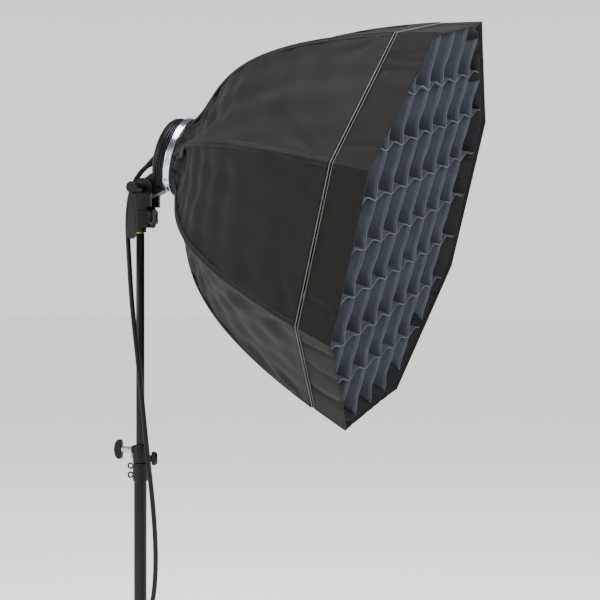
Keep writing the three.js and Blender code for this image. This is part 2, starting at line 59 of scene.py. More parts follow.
# The light's own frame, from the joint that the softbox turns on: n forward, u up, x to the left
turnJoint = next(j for j in frame["joints"] if j["name"] == "softbox_turn")
forward = np.array(turnJoint["axis"])
light = {
    "centre": np.array(turnJoint["pos_m"]) / mm - 20 * forward,
    "forward": forward,
    "up": np.array([-forward[2], 0.0, forward[0]]),
    "left": np.array([0.0, 1.0, 0.0]),
    "firstRib": math.radians(79.5),
    "rib": np.array([[15.5, 63.3], [80.0, 121.6], [24.0, 222.5], [390.0, 324.7]]),
    "seam": 0.945,
    "arc": 420.0,  # the length that the wrinkles count a rib's 0 to 1 as
}
sides = 8
step = 2 * math.pi / sides


# Points


def toRow(x, y, z):
    # turns the softbox's local x, y by the first rib's angle, then lays them on the light's axes
    c, s = math.cos(light["firstRib"]), math.sin(light["firstRib"])
    across, rise = x * c - y * s, x * s + y * c
    axes = light["left"], light["up"], light["forward"]
    out = sum(np.asarray(v)[..., None] * a for v, a in zip((across, rise, z), axes))
    return (out + light["centre"]) * mm


def ribLine(t, inset=0.0):
    # a cubic Bezier curve of (axial, radius), moved inwards by inset along its own normal
    t = np.asarray(t, float)
    u = 1 - t
    a, b, c, d = light["rib"]
    at = [u**3 * a[k] + 3 * u * u * t * b[k] + 3 * u * t * t * c[k] + t**3 * d[k] for k in (0, 1)]
    slope = [
        3 * (u * u * (b[k] - a[k]) + 2 * u * t * (c[k] - b[k]) + t * t * (d[k] - c[k])) for k in (0, 1)
    ]
    length = np.hypot(*slope)
    return at[0] + inset * slope[1] / length, at[1] - inset * slope[0] / length


def panelPoint(i, t, inset, across):
    # a point of side panel i: flat is the panel's distance from the light's axis, and across runs beside
    # the panel's middle line
    axial, radius = ribLine(t, inset)
    middle = (np.asarray(i) + 0.5) * step
    flat = radius * math.cos(step / 2)
    x = flat * np.cos(middle) - across * np.sin(middle)
    y = flat * np.sin(middle) + across * np.cos(middle)
    return toRow(x, y, axial + 0 * x)


def halfPanel(t):
    return ribLine(t)[1] * math.sin(step / 2)


def smooth(points, spacing):
    # Catmull-Rom spline: each stretch is the cubic through two points with slopes from their neighbours
    p = np.asarray(points, float)
    p = np.vstack([2 * p[0] - p[1], p, 2 * p[-1] - p[-2]])
    pieces = []
    for a, b, c, d in zip(p[:-3], p[1:-2], p[2:-1], p[3:]):
        count = max(2, int(np.linalg.norm(c - b) / spacing))
        t = np.linspace(0, 1, count, endpoint=False)[:, None]
        square = (2 * a - 5 * b + 4 * c - d) * t**2
        cube = (3 * b - a - 3 * c + d) * t**3
        pieces.append(0.5 * (2 * b + (c - a) * t + square + cube))
    return np.vstack(pieces + [p[-2:-1]])


# Meshes


def meshPiece(name, points, faces, uv=None, angle=None):
    mesh = bpy.data.meshes.new(name)
    mesh.from_pydata(np.asarray(points, float).reshape(-1, 3).tolist(), [], [list(f) for f in faces])
    if uv is not None:
        loops = np.empty(len(mesh.loops), int)
        mesh.loops.foreach_get("vertex_index", loops)
        layer = mesh.uv_layers.new(name="UVMap")
        layer.uv.foreach_set("vector", uv.reshape(-1, 2)[loops].ravel())
    mesh.polygons.foreach_set("use_smooth", np.ones(len(mesh.polygons), bool))
    if angle is not None:
        mesh.set_sharp_from_angle(angle=math.radians(angle))
    piece = bpy.data.objects.new(name, mesh)
    bpy.context.collection.objects.link(piece)
    return piece


def quads(rows, cols, closeRows=False, closeCols=False):
    # joins each point of a rows by cols grid to its neighbours, round the grid's edge where it is closed
    down = np.arange(rows - (not closeRows))
    over = np.arange(cols - (not closeCols))
    i, j = np.meshgrid(down, over, indexing="ij")
    k, l = (i + 1) % rows, (j + 1) % cols
    return np.stack([i * cols + j, k * cols + j, k * cols + l, i * cols + l], -1).reshape(-1, 4)


def turnOut(piece):
    form = bmesh.new()
    form.from_mesh(piece.data)
    bmesh.ops.remove_doubles(form, verts=form.verts, dist=1e-6)
    bmesh.ops.recalc_face_normals(form, faces=form.faces)
    form.to_mesh(piece.data)
    form.free()
    return piece


def sweep(name, path, radius, reference, around=12, closed=False):
    # a round tube: at each point of the path a circle across the tangent, its first axis square to the
    # reference direction
    path = np.asarray(path, float)
    if closed:
        tangent = np.roll(path, -1, 0) - np.roll(path, 1, 0)
    else:
        tangent = np.gradient(path, axis=0)
    tangent /= np.linalg.norm(tangent, axis=1, keepdims=True)
    a = np.cross(tangent, reference)
    a /= np.linalg.norm(a, axis=1, keepdims=True)
    b = np.cross(tangent, a)
    angle = np.linspace(0, 2 * math.pi, around, endpoint=False)[None, :, None]
    points = path[:, None] + radius * (np.cos(angle) * a[:, None] + np.sin(angle) * b[:, None])
    faces = [tuple(f) for f in quads(len(path), around, closed, True)]
    if not closed:
        faces += [tuple(range(around)), tuple(range((len(path) - 1) * around, len(path) * around))]
    return turnOut(meshPiece(name, points, faces, angle=50))


def turned(name, profile, origin, axis, segments=96, lobes=0, depth=0.0, angle=35):
    # a profile of (radius, height) turned about an axis, its radius waved by depth in each of the lobes
    profile = np.asarray(profile, float)
    axis = np.asarray(axis, float) / np.linalg.norm(axis)
    side = np.cross(axis, [0.0, 1.0, 0.0] if abs(axis[1]) < 0.9 else [1.0, 0.0, 0.0])
    side /= np.linalg.norm(side)
    other = np.cross(axis, side)
    a = np.linspace(0, 2 * math.pi, segments, endpoint=False)
    wave = depth * (profile[:, :1] / profile[:, 0].max()) * np.cos(lobes * a)[None]
    radius = profile[:, :1] + wave
    points = radius[..., None] * (np.cos(a)[:, None] * side + np.sin(a)[:, None] * other)[None]
    points = (points + profile[:, 1][:, None, None] * axis + np.asarray(origin, float)) * mm
    closedProfile = profile[0, 0] > 0 and profile[-1, 0] > 0
    faces = quads(len(profile), segments, closedProfile, True)
    return turnOut(meshPiece(name, points, faces, angle=angle))


def refined(name, node, bevel, angle=40):
    # the CAD solid's shape with its edges rounded, as a moulding or a turned part has them
    source = frame["nodes"][node]
    piece = bpy.data.objects.new(name, source.data.copy())
    bpy.context.collection.objects.link(piece)
    piece.data.materials.clear()
    form = bmesh.new()
    form.from_mesh(piece.data)
    bmesh.ops.remove_doubles(form, verts=form.verts, dist=2e-5)
    bmesh.ops.dissolve_limit(form, angle_limit=math.radians(1), verts=form.verts, edges=form.edges)
    form.to_mesh(piece.data)
    form.free()
    if bevel:
        rounding = piece.modifiers.new("rounding", "BEVEL")
        rounding.width = bevel * mm
        rounding.segments = 3
        rounding.limit_method = "ANGLE"
        rounding.angle_limit = math.radians(angle)
        rounding.harden_normals = False
    piece.data.polygons.foreach_set("use_smooth", np.ones(len(piece.data.polygons), bool))
    piece.data.set_sharp_from_angle(angle=math.radians(angle + 15 if bevel else 30))
    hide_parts(node)
    return piece


def addUv(piece):
    # a map in metres for pieces that were made without one: along the light's axis, and round it at 0.3
    mesh = piece.data
    co = np.empty(len(mesh.vertices) * 3)
    mesh.vertices.foreach_get("co", co)
    local = co.reshape(-1, 3) - light["centre"] * mm
    axial = local @ light["forward"]
    around = np.arctan2(local @ light["up"], local @ light["left"]) * 0.3
    loops = np.empty(len(mesh.loops), int)
    mesh.loops.foreach_get("vertex_index", loops)
    layer = mesh.uv_layers.get("UVMap") or mesh.uv_layers.new(name="UVMap")
    layer.uv.foreach_set("vector", np.stack([around, axial], 1)[loops].ravel())


def thicken(piece, thickness, offset=-1):
    wall = piece.modifiers.new("cloth", "SOLIDIFY")
    wall.thickness = thickness * mm
    wall.offset = offset
    return piece


def dress(piece, body, material):
    piece.data.materials.clear()
    piece.data.materials.append(material)
    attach(piece, body)
    return piece


# Materials


def colourOf(text):
    # sRGB hex to linear
    value = np.array([int(text[i : i + 2], 16) for i in (1, 3, 5)]) / 255
    linear = np.where(value <= 0.04045, value / 12.92, ((value + 0.055) / 1.055) ** 2.4)
    return (*linear.tolist(), 1.0)


def addNode(tree, kind, settings=None, links=None):
    node = tree.nodes.new(kind)
    for key, value in (settings or {}).items():
        if isinstance(key, int) or key in node.inputs:
            node.inputs[key].default_value = value
        else:
            setattr(node, key, value)
    for key, source in (links or {}).items():
        tree.links.new(source, node.inputs[key])
    return node


def newMaterial(name, **shader):
    material = bpy.data.materials.new(name)
    material.use_nodes = True
    tree = material.node_tree
    surface = tree.nodes["Principled BSDF"]
    for key, value in shader.items():
        surface.inputs[key.replace("_", " ")].default_value = value
    return material, tree, surface


def mixColours(tree, factor, dark, pale):
    mix = addNode(tree, "ShaderNodeMix", {"data_type": "RGBA"})
    mix.inputs["A"].default_value = colourOf(dark)
    mix.inputs["B"].default_value = colourOf(pale)
    tree.links.new(factor, mix.inputs["Factor"])
    return mix.outputs["Result"]


# Woven nylon: two crossing sets of threads on the UV map, which is in metres; real threads are 0.4 mm,
# drawn coarser so that they show. Matt, with a weak sheen and uneven dye.
def wovenCloth(name, dark, pale, thread, bumpDepth, roughness, sheen=0.03, ribbed=0.0):
    material, tree, surface = newMaterial(
        name, Roughness=roughness, Sheen_Weight=sheen, Sheen_Roughness=0.5, Specular_IOR_Level=0.1
    )
    place = addNode(tree, "ShaderNodeUVMap", {"uv_map": "UVMap"})
    waveScale = 0.314 / (thread * mm)  # a wave texture of scale 1 repeats every 0.314
    waves = []
    for direction in ("X", "Y"):
        waves.append(addNode(
            tree, "ShaderNodeTexWave",
            {"bands_direction": direction, "Scale": waveScale, "Distortion": 0.4, "Detail": 1.0},
            {"Vector": place.outputs["UV"]},
        ))
    warp, weft = (w.outputs["Fac"] for w in waves)
    weave = addNode(tree, "ShaderNodeMath", {"operation": "MULTIPLY"}, {0: warp, 1: weft})
    dye = addNode(tree, "ShaderNodeTexNoise", {"Scale": 18.0, "Detail": 5.0, "Roughness": 0.6},
                  {"Vector": place.outputs["UV"]})
    streak = addNode(tree, "ShaderNodeMapping", {"Scale": (40.0, 700.0, 1.0)},
                     {"Vector": place.outputs["UV"]})
    slub = addNode(tree, "ShaderNodeTexNoise", {"Scale": 1.0, "Detail": 2.0},
                   {"Vector": streak.outputs["Vector"]})
    # the tone adds up uneven dye, slubs along the weft and the threads' own light and dark
    tone = addNode(tree, "ShaderNodeMath", {"operation": "MULTIPLY_ADD", 1: 0.75, 2: -0.05},
                   {0: dye.outputs["Fac"]})
    toneSlub = addNode(tree, "ShaderNodeMath", {"operation": "MULTIPLY_ADD", 1: 0.5},
                       {0: slub.outputs["Fac"], 2: tone.outputs[0]})
    clamped = {"operation": "MULTIPLY_ADD", "use_clamp": True, 1: 0.35 + ribbed}
    toneWeave = addNode(tree, "ShaderNodeMath", clamped, {0: weave.outputs[0], 2: toneSlub.outputs[0]})
    tree.links.new(mixColours(tree, toneWeave.outputs[0], dark, pale), surface.inputs["Base Color"])
    bump = addNode(tree, "ShaderNodeBump", {"Strength": 0.5, "Distance": bumpDepth * mm},
                   {"Height": weave.outputs[0]})
    tree.links.new(bump.outputs["Normal"], surface.inputs["Normal"])
    return material


# Moulded plastic: fine spark-eroded grain, a little uneven in gloss
def mouldedPlastic(name, dark, pale, roughness, grain=0.5, depth=0.04):
    material, tree, surface = newMaterial(name, Roughness=roughness, Specular_IOR_Level=0.2)
    place = addNode(tree, "ShaderNodeTexCoord")
    fine = addNode(tree, "ShaderNodeTexNoise", {"Scale": 1 / (grain * mm), "Detail": 3.0},
                   {"Vector": place.outputs["Object"]})
    broad = addNode(tree, "ShaderNodeTexNoise", {"Scale": 60.0, "Detail": 4.0},
                    {"Vector": place.outputs["Object"]})
    tree.links.new(mixColours(tree, broad.outputs["Fac"], dark, pale), surface.inputs["Base Color"])
    gloss = addNode(tree, "ShaderNodeMapRange", {"To Min": roughness - 0.08, "To Max": roughness + 0.1},
                    {"Value": broad.outputs["Fac"]})
    tree.links.new(gloss.outputs["Result"], surface.inputs["Roughness"])
    bump = addNode(tree, "ShaderNodeBump", {"Strength": 0.4, "Distance": depth * mm},
                   {"Height": fine.outputs["Fac"]})
    tree.links.new(bump.outputs["Normal"], surface.inputs["Normal"])
    return material


# Metal: turning or drawing marks as fine stretched noise, square to the axis that is not stretched
def workedMetal(name, dark, pale, roughness, stretch, metallic=1.0, depth=0.01):
    material, tree, surface = newMaterial(name, Roughness=roughness, Metallic=metallic)
    place = addNode(tree, "ShaderNodeTexCoord")
    scaled = addNode(tree, "ShaderNodeMapping", {"Scale": stretch}, {"Vector": place.outputs["Object"]})
    marks = addNode(tree, "ShaderNodeTexNoise", {"Scale": 1.0, "Detail": 4.0},
                    {"Vector": scaled.outputs["Vector"]})
    tree.links.new(mixColours(tree, marks.outputs["Fac"], dark, pale), surface.inputs["Base Color"])
    gloss = addNode(tree, "ShaderNodeMapRange", {"To Min": roughness * 0.7, "To Max": roughness * 1.4},
                    {"Value": marks.outputs["Fac"]})
    tree.links.new(gloss.outputs["Result"], surface.inputs["Roughness"])
    bump = addNode(tree, "ShaderNodeBump", {"Strength": 0.3, "Distance": depth * mm},
                   {"Height": marks.outputs["Fac"]})
    tree.links.new(bump.outputs["Normal"], surface.inputs["Normal"])
    return material


# Diffusing nylon: white, matt, lets a little light through
def diffusingNylon():
    material = wovenCloth("diffusing_nylon", "#dcdbd4", "#f6f5f0", 1.2, 0.05, 0.8, 0.1)
    material.node_tree.nodes["Principled BSDF"].inputs["Transmission Weight"].default_value = 0.15
    return material


def clearGlass(name):
    material = mouldedPlastic(name, "#e4eaee", "#f4f8fa", 0.12, 2.0, 0.01)
    material.node_tree.nodes["Principled BSDF"].inputs["Transmission Weight"].default_value = 0.8
    return material


print("materials")
coverNylon = wovenCloth("coated_nylon_black", "#0a0a0b", "#1f1f1f", 1.5, 0.12, 0.72)
lipNylon = wovenCloth("coarse_nylon_black", "#0b0b0a", "#1e1d1b", 2.1, 0.25, 0.85, ribbed=0.2)
bindingTape = wovenCloth("woven_tape_black", "#0b0b0c", "#232324", 1.3, 0.2, 0.7)
pipingCord = wovenCloth("piping_grey", "#3a3936", "#6c6a66", 1.0, 0.1, 0.7)
gridNylon = wovenCloth("satin_nylon_slate", "#0d0f11", "#464a50", 1.0, 0.04, 0.42, sheen=0.05)
hookTape = wovenCloth("hook_and_loop_black", "#080808", "#1a1a1b", 1.4, 0.5, 0.95)
whiteNylon = diffusingNylon()
blackAbs = mouldedPlastic("abs_moulded_black", "#070708", "#111112", 0.42)
greyAbs = mouldedPlastic("glass_filled_nylon_grey", "#121213", "#252526", 0.5, 0.8, 0.06)
leadPvc = mouldedPlastic("pvc_sheath_black", "#060607", "#0f0f10", 0.36, 0.7, 0.03)
softRubber = mouldedPlastic("rubber_moulded_black", "#080808", "#121212", 0.7, 0.6, 0.05)
ringAluminium = workedMetal("turned_aluminium_bright", "#a9b2c6", "#dde3f0", 0.16, (900.0, 20.0, 900.0))
blackAnodised = workedMetal(
    "anodised_aluminium_black", "#070708", "#151516", 0.34, (700.0, 700.0, 12.0), 0.6
)
zincSteel = workedMetal("zinc_plated_steel", "#8c8d90", "#b9babd", 0.32, (300.0, 300.0, 300.0))
spigotBrass = workedMetal("turned_brass", "#9a7433", "#d0a95c", 0.28, (60.0, 60.0, 900.0))
reflectorMetal = workedMetal(
    "hammered_aluminium", "#b8bcc4", "#e6e9ee", 0.2, (260.0, 260.0, 260.0), depth=0.3
)
boardResin = mouldedPlastic("glass_epoxy_board", "#123524", "#1f5238", 0.4, 1.0, 0.02)
rodFibre = mouldedPlastic("pultruded_fibreglass", "#161618", "#2c2c2e", 0.35, 0.5, 0.03)
lampGlass = clearGlass("borosilicate_glass")


# Camera, floor and lights


def addCamera():
    view = {"azimuth": 17.7, "place": (1.0895, -2.5915, 0.625), "lens": 107.3}
    data = bpy.data.cameras.new("camera")
    data.lens = view["lens"]
    camera = bpy.data.objects.new("camera", data)
    bpy.context.collection.objects.link(camera)
    camera.location = view["place"]
    camera.rotation_euler = (math.radians(90), 0, math.radians(view["azimuth"]))
    bpy.context.scene.camera = camera


def addLight(name, place, target, size, power, tint="#ffffff"):
    data = bpy.data.lights.new(name, "AREA")
    data.size = size
    data.energy = power
    data.color = colourOf(tint)[:3]
    lamp = bpy.data.objects.new(name, data)
    bpy.context.collection.objects.link(lamp)
    lamp.location = place
    heading = np.array(target) - np.array(place)
    flat = math.hypot(heading[0], heading[1])
    tilt = math.pi / 2 + math.atan2(heading[2], flat)
    lamp.rotation_euler = (tilt, 0, math.atan2(-heading[0], heading[1]))


def addStudio():
    world = bpy.data.worlds.new("studio")
    bpy.context.scene.world = world
    world.use_nodes = True
    # a white cove, bright at eye level and dim overhead, as in a studio with its ceiling lights off
    tree = world.node_tree
    place = addNode(tree, "ShaderNodeTexCoord")
    height = addNode(tree, "ShaderNodeSeparateXYZ", links={"Vector": place.outputs["Generated"]})
    fade = {"From Min": 0.12, "From Max": 0.45, "To Min": 1.25, "To Max": 0.22}
    fade["interpolation_type"] = "SMOOTHSTEP"
    glow = addNode(tree, "ShaderNodeMapRange", fade, {"Value": height.outputs["Z"]})
    tree.links.new(glow.outputs["Result"], tree.nodes["Background"].inputs["Strength"])
    tree.nodes["Background"].inputs["Color"].default_value = (1, 1, 1, 1)
    paper, tree, surface = newMaterial(
        "seamless_paper_white", Roughness=1.0, Base_Color=colourOf("#f4f4f4"), Specular_IOR_Level=0.0,
        Emission_Color=(1, 1, 1, 1), Emission_Strength=0.9,
    )
    far = 60.0
    corners = [(-far, -far, 0), (far, -far, 0), (far, far, 0), (-far, far, 0)]
    floor = meshPiece("studio_floor", corners, [(0, 1, 2, 3)])
    floor.data.transform(mathutils.Matrix.Translation((0, 0, -0.002)))
    floor.data.materials.append(paper)
    addLight("top_softbox", (0.2, -0.6, 2.6), (0.2, 0, 0.7), 1.4, 75)
    addLight("right_window", (2.4, -1.2, 1.5), (0.35, 0, 0.7), 1.1, 75, "#f0f4ff")
    addLight("left_strip", (-1.6, -1.6, 1.1), (0, 0, 0.6), 0.7, 22)


print("camera and studio")
addCamera()
addStudio()

# Cable: three stretches that meet end to end, so that each crosses only one joint

coil = {
    "centre": 66.0, "height": 78.0, "turn": 42.0, "pitch": 7.9,
    "heading": math.radians(-30), "perTurn": 48,
}
# a 3.0 m lead, shared out over the three stretches, in metres
lead = {"diameter": 7.6, "upper": 0.097, "middle": 0.233, "lower": 2.67}


def coilPoint(out, side, z):
    c, s = math.cos(coil["heading"]), math.sin(coil["heading"])
    return [out * c - side * s, out * s + side * c, z]


upperRoute = [
    [12.4, 0, 834.8], [8.6, -0.1, 831.7], [3.9, -0.6, 827.4], [-2.4, -2.5, 819], [-8, -5, 808],
    [-12.3, -7.5, 794], [-14.8, -9.8, 778], [-15.8, -11.8, 762], [-15.6, -13.6, 748],
]
middleRoute = [
    [-15.6, -13.6, 748], [-14.9, -15.2, 734], [-13.7, -16.8, 720], [-12.3, -18.2, 706],
    [-10.7, -19.6, 690], [-9.1, -20.7, 672], [-7.2, -21.5, 648], [-4.6, -21.9, 618],
    [-1.2, -22, 586], [2.6, -21.6, 552], [6.4, -21, 518],
]
lowerRoute = [
    [6.4, -21, 518], [10, -20.4, 484], [13.2, -20, 452], [16.6, -20, 420], [20, -20.4, 390],
    [23.6, -20.6, 360], [27.2, -20.6, 330], [30.2, -20.4, 300], [32.4, -20, 270], [33.6, -19.6, 242],
    [33.6, -19, 214], [32, -18, 188], [28.6, -16.4, 164], coilPoint(25.4, 0, 144),
    coilPoint(20.4, 0, 127), coilPoint(17.2, 0, 112), coilPoint(16.3, 0, 96),
]
tailRoute = [
    coilPoint(16.2, 9.2, 70), coilPoint(16.5, 12.6, 63), coilPoint(17.1, 17.6, 57),
    coilPoint(17.7, 22.4, 51.5), coilPoint(18, 25.2, 46.5), coilPoint(18, 25.5, 43),
]


def coilTurns():
    # turn k keeps its own radius and side, in pitches; over its last 0.3 it eases to those of the next
    slots = np.array(
        [(1, 0), (1, -1), (0, -1), (-1, -1), (-1, 0), (0, 0), (0, 1), (1, 1), (1, 1.05)], float
    )
    turn = np.arange(0, (len(slots) - 1) * coil["perTurn"]) / coil["perTurn"]
    whole = turn.astype(int)
    ease = np.clip((turn - whole - 0.7) / 0.3, 0, 1)
    ease = (ease * ease * (3 - 2 * ease))[:, None]
    slot = slots[whole] * (1 - ease) + slots[whole + 1] * ease
    radius = coil["turn"] + coil["pitch"] * slot[:, 0]
    angle = 2 * math.pi * turn
    out = coil["centre"] - radius * np.cos(angle)
    return np.array(coilPoint(out, coil["pitch"] * slot[:, 1], coil["height"] - radius * np.sin(angle))).T


def lengthOf(path):
    return float(np.linalg.norm(np.diff(path, axis=0), axis=1).sum())


def addCable():
    sideways = np.array(coilPoint(0, 1, 0)) * [1, 1, 0]
    upperPath = smooth(upperRoute, 3) * mm
    middlePath = smooth(middleRoute, 4) * mm
    lowerPath = smooth(np.vstack([lowerRoute, coilTurns(), tailRoute]), 2.5) * mm
    radius = lead["diameter"] / 2 * mm
    cordPieces = []
    for name, path, nodes in (
        ("cable_upper", upperPath, ["lead_upper"]),
        ("cable_middle", middlePath, ["lead_middle"]),
        ("cable_lower", lowerPath, ["lead_lower", "lead_coil", "lead_tail"]),
    ):
        reference = sideways if name == "cable_lower" else np.array([0.0, 1.0, 0.0])
        cable = sweep(name, path, radius, reference)
        cable.data.materials.append(leadPvc)
        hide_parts(*nodes)
        cordPieces.append(cable)
    upper, middle, lower = cordPieces
    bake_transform(upper)
    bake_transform(middle)
    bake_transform(lower)
    gland = turned("strain_relief", glandProfile(), glandPlace(), glandHeading(), 48)
    dress(gland, "head", softRubber)
    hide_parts("cable_gland")
    plug = refined("cable_connector", "lead_plug", 0.5)
    dress(plug, "stand", blackAbs)
    print("cable", round(lengthOf(upperPath) + lengthOf(middlePath) + lengthOf(lowerPath), 3), "m")
    tie = refined("cable_tie", "coil_tie", 0.4)
    dress(tie, "stand", hookTape)
    addUv(tie)


def glandHeading():
    return -0.82 * light["up"] - 0.572 * light["forward"]


def glandPlace():
    # the outlet's line starts 4.4 above the light's axis on the cap's face, and the gland 14 along it
    heading = glandHeading() / np.linalg.norm(glandHeading())
    return light["centre"] + 4.4 * light["up"] - 25.2 * light["forward"] + 14 * heading


def glandProfile():
    # a relief that tapers from radius 6.4 to 4.5, with a groove every 3.15 so that it bends
    z = np.linspace(6.5, 25.4, 90)
    groove = np.clip(np.cos((z - 6.5) * 2 * math.pi / 3.15) * 2, -1, 0.3)
    body = np.stack([6.4 - (z - 6.5) * 0.1 + 0.45 * groove, z], 1)
    flange = [[0, 0.2], [6.2, 0.2], [6.6, 0.6], [6.6, 5.8], [6.3, 6.2]]
    return np.vstack([flange, body, [4.3, 25.8], [0, 25.9]])


print("cable")
addCable()

# Cover: one sheet that goes round all eight ribs

cover = {
    "rows": 150, "perPanel": 30, "cloth": 0.8,
    "sag": 6.5, "pleat": 4.2, "undulation": 2.3, "corner": 5.0,
}


def panelGrid(count):
    # across from -1 to 1 on each panel, closer together near the ribs
    s = np.sin(np.linspace(-1, 1, count, endpoint=False) * math.pi / 2)
    return np.tile(s, sides), np.repeat(np.arange(sides), count)


def coverInset(i, s, t):
    # how far the cloth lies inside the plane between two ribs: the pull of the curved rods draws it in,
    # pleats run out from the ring, creases fan from the front corners, and slow waves cross each panel
    half = halfPanel(t)
    free = 1 - s**6
    sag = cover["sag"] * (1 - s * s) * np.sin(math.pi * np.clip(t / light["seam"], 0, 1)) ** 0.8
    phase = rng.uniform(0, 2 * math.pi, (sides, 4))[i]
    near = np.clip(t / 0.02, 0, 1) * np.exp(-t / 0.13)
    pleat = near * (np.sin(9 * s + phase[..., 0]) + 0.7 * np.sin(17 * s + phase[..., 1] + 5 * t))
    arc = t * light["arc"]
    waves = 0
    spread = rng.normal(0, 1, (sides, 7, 4))
    for k in range(7):
        a, b, c, d = (spread[:, k, m][i] for m in range(4))
        length = 38 + 17 * k
        turn = 0.25 * a + (math.pi / 2 if k % 2 else 0)
        along = arc * np.cos(turn) + s * half * np.sin(turn)
        bend = 0.8 * np.sin(along / 60 + c)
        waves = waves + np.sin(2 * math.pi * along / length + 3 * b + bend) * (0.5 + 0.15 * d)
    crease = 0
    for side in (-1, 1):
        du, dv = (light["seam"] - t) * light["arc"], (1 - side * s) * half
        distance, angle = np.hypot(du, dv), np.arctan2(dv, du + 1e-6)
        fan = np.sin(11 * angle + phase[..., 2 if side > 0 else 3])
        crease = crease + fan * np.exp(-distance / 42) * np.clip(distance / 8, 0, 1)
    quiet = np.clip((light["seam"] - t) / 0.03, 0, 1) * np.clip(t / 0.03, 0, 1)
    ripple = cover["pleat"] * pleat + quiet * (cover["undulation"] * waves + cover["corner"] * crease)
    return sag + free * ripple


def sheetUv(i, across, t):
    # metres of cloth: across the panel, with each panel's map 0.4 from the next, and along the rib
    even = np.linspace(0, 1, 400)
    arc = np.concatenate([[0], np.cumsum(np.hypot(*np.diff(np.array(ribLine(even)), axis=1)))])
    return np.stack([across * mm + i * 0.4, np.interp(t, even, arc) * mm], -1)


def addCover():
    s, i = panelGrid(cover["perPanel"])
    t = (np.linspace(0, 1, cover["rows"]) ** 1.15 * (light["seam"] - 0.001))[:, None]
    t, s, i = np.broadcast_arrays(t, s[None], i[None])
    across = s * halfPanel(t)
    points = panelPoint(i, t, coverInset(i, s, t), across)
    # near the ring the section eases from the octagon to a circle 0.5 inside the octagon's corners
    local = points / mm - light["centre"]
    axial = local @ light["forward"]
    radial = local - axial[..., None] * light["forward"]
    radius = np.linalg.norm(radial, axis=-1)
    ring = (1 - np.clip(t / 0.07, 0, 1)) ** 2
    wanted = radius * (1 - ring) + (ribLine(t)[1] - 0.5) * ring
    radial = radial * (wanted / radius)[..., None]
    points = (light["centre"] + axial[..., None] * light["forward"] + radial) * mm
    uv = sheetUv(i, across, t)
    shell = meshPiece("softbox_cover", points, quads(*t.shape, False, True)[:, ::-1], uv)
    thicken(shell, cover["cloth"])
    dress(shell, "softbox", coverNylon)
    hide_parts(*[f"shell_panel_{k + 1}" for k in range(sides)])


print("cover")
addCover()

# Lip: coarser cloth from the piped seam to the rim, folded over it and back inside. The hem is in
# the light's arc units, as the wrinkles are, which run long at the rim: 13 of them are some 34 mm of cloth.

lip = {"cloth": 0.9, "fold": 1.4, "hem": 13.0, "perPanel": 64, "crease": 2.6}


def addLip():
    s, i = panelGrid(lip["perPanel"])
    outer = np.linspace(light["seam"] + 0.001, 1.0, 26)
    turn = np.linspace(0, math.pi, 8)[1:]
    back = np.linspace(1.0, 1.0 - lip["hem"] / light["arc"], 6)[1:]
    t = np.concatenate([outer, np.full(7, 1.0), back])[:, None]
    inset = np.concatenate([0 * outer, lip["fold"] * (1 - np.cos(turn)), np.full(5, 2 * lip["fold"])])
    inset = inset[:, None]
    proud = np.concatenate([0 * outer, 0.6 * lip["fold"] * np.sin(turn), np.zeros(5)])
    proud = proud[:, None]
    t, inset, proud, s, i = np.broadcast_arrays(t, inset, proud, s[None], i[None])
    half = halfPanel(t)
    place = rng.uniform(-0.85, 0.85, (sides, 5))
    depth = rng.uniform(0.4, 1.4, (sides, 5))
    fold = 0
    for k in range(5):
        middle = place[:, k][i] + 0.05 * np.sin(40 * t + k)
        fold = fold + depth[:, k][i] * np.exp(-(((s - middle) * half / 5.0) ** 2))
    edge = np.clip((t - light["seam"]) / 0.006, 0, 1)
    wave = np.sin(2 * math.pi * s * half / 61 + i) * 0.5
    bow = 1.8 * (1 - s * s) * edge
    drawn = inset + bow + edge * (1 - s**6) * (lip["crease"] * fold + 0.7 * wave + 0.9)
    points = panelPoint(i, t, drawn, s * half) + proud[..., None] * light["forward"] * mm
    faces = quads(*t.shape, False, True)[:, ::-1]
    band = meshPiece("front_band", points, faces, sheetUv(i, s * half, t + 0.2 * (inset > 0)))
    thicken(band, lip["cloth"])
    dress(band, "softbox", lipNylon)
    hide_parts("front_lip")


def addPiping():
    for name, t, radius, material, slot in (
        ("piping_rear", light["seam"] - 0.0015, 0.75, pipingCord, "grey_plastic"),
        ("piping_front", light["seam"] + 0.003, 0.45, pipingCord, "grey_plastic"),
        ("ring_binding", 0.0, 1.3, bindingTape, "black_cloth"),
    ):
        s, i = np.tile(np.linspace(-0.99, 0.99, 12), sides), np.repeat(np.arange(sides), 12)
        points = panelPoint(i, np.full(len(s), t), -0.3, s * halfPanel(t))
        if name == "ring_binding":
            angle = np.linspace(0, 2 * math.pi, 96, endpoint=False)
            points = toRow(62.2 * np.cos(angle), 62.2 * np.sin(angle), 15.6 + 0 * angle)
        bead = sweep(name, points, radius * mm, light["forward"], 8, True)
        addUv(dress(bead, "softbox", material))


# Rod channels: a folded strip over each rib with a ridge along its middle and two rows of stitches
channel = {"lift": 0.7, "ridge": 1.1, "stitch": 2.9, "every": 4.6, "row": 5.2, "thread": 0.32}


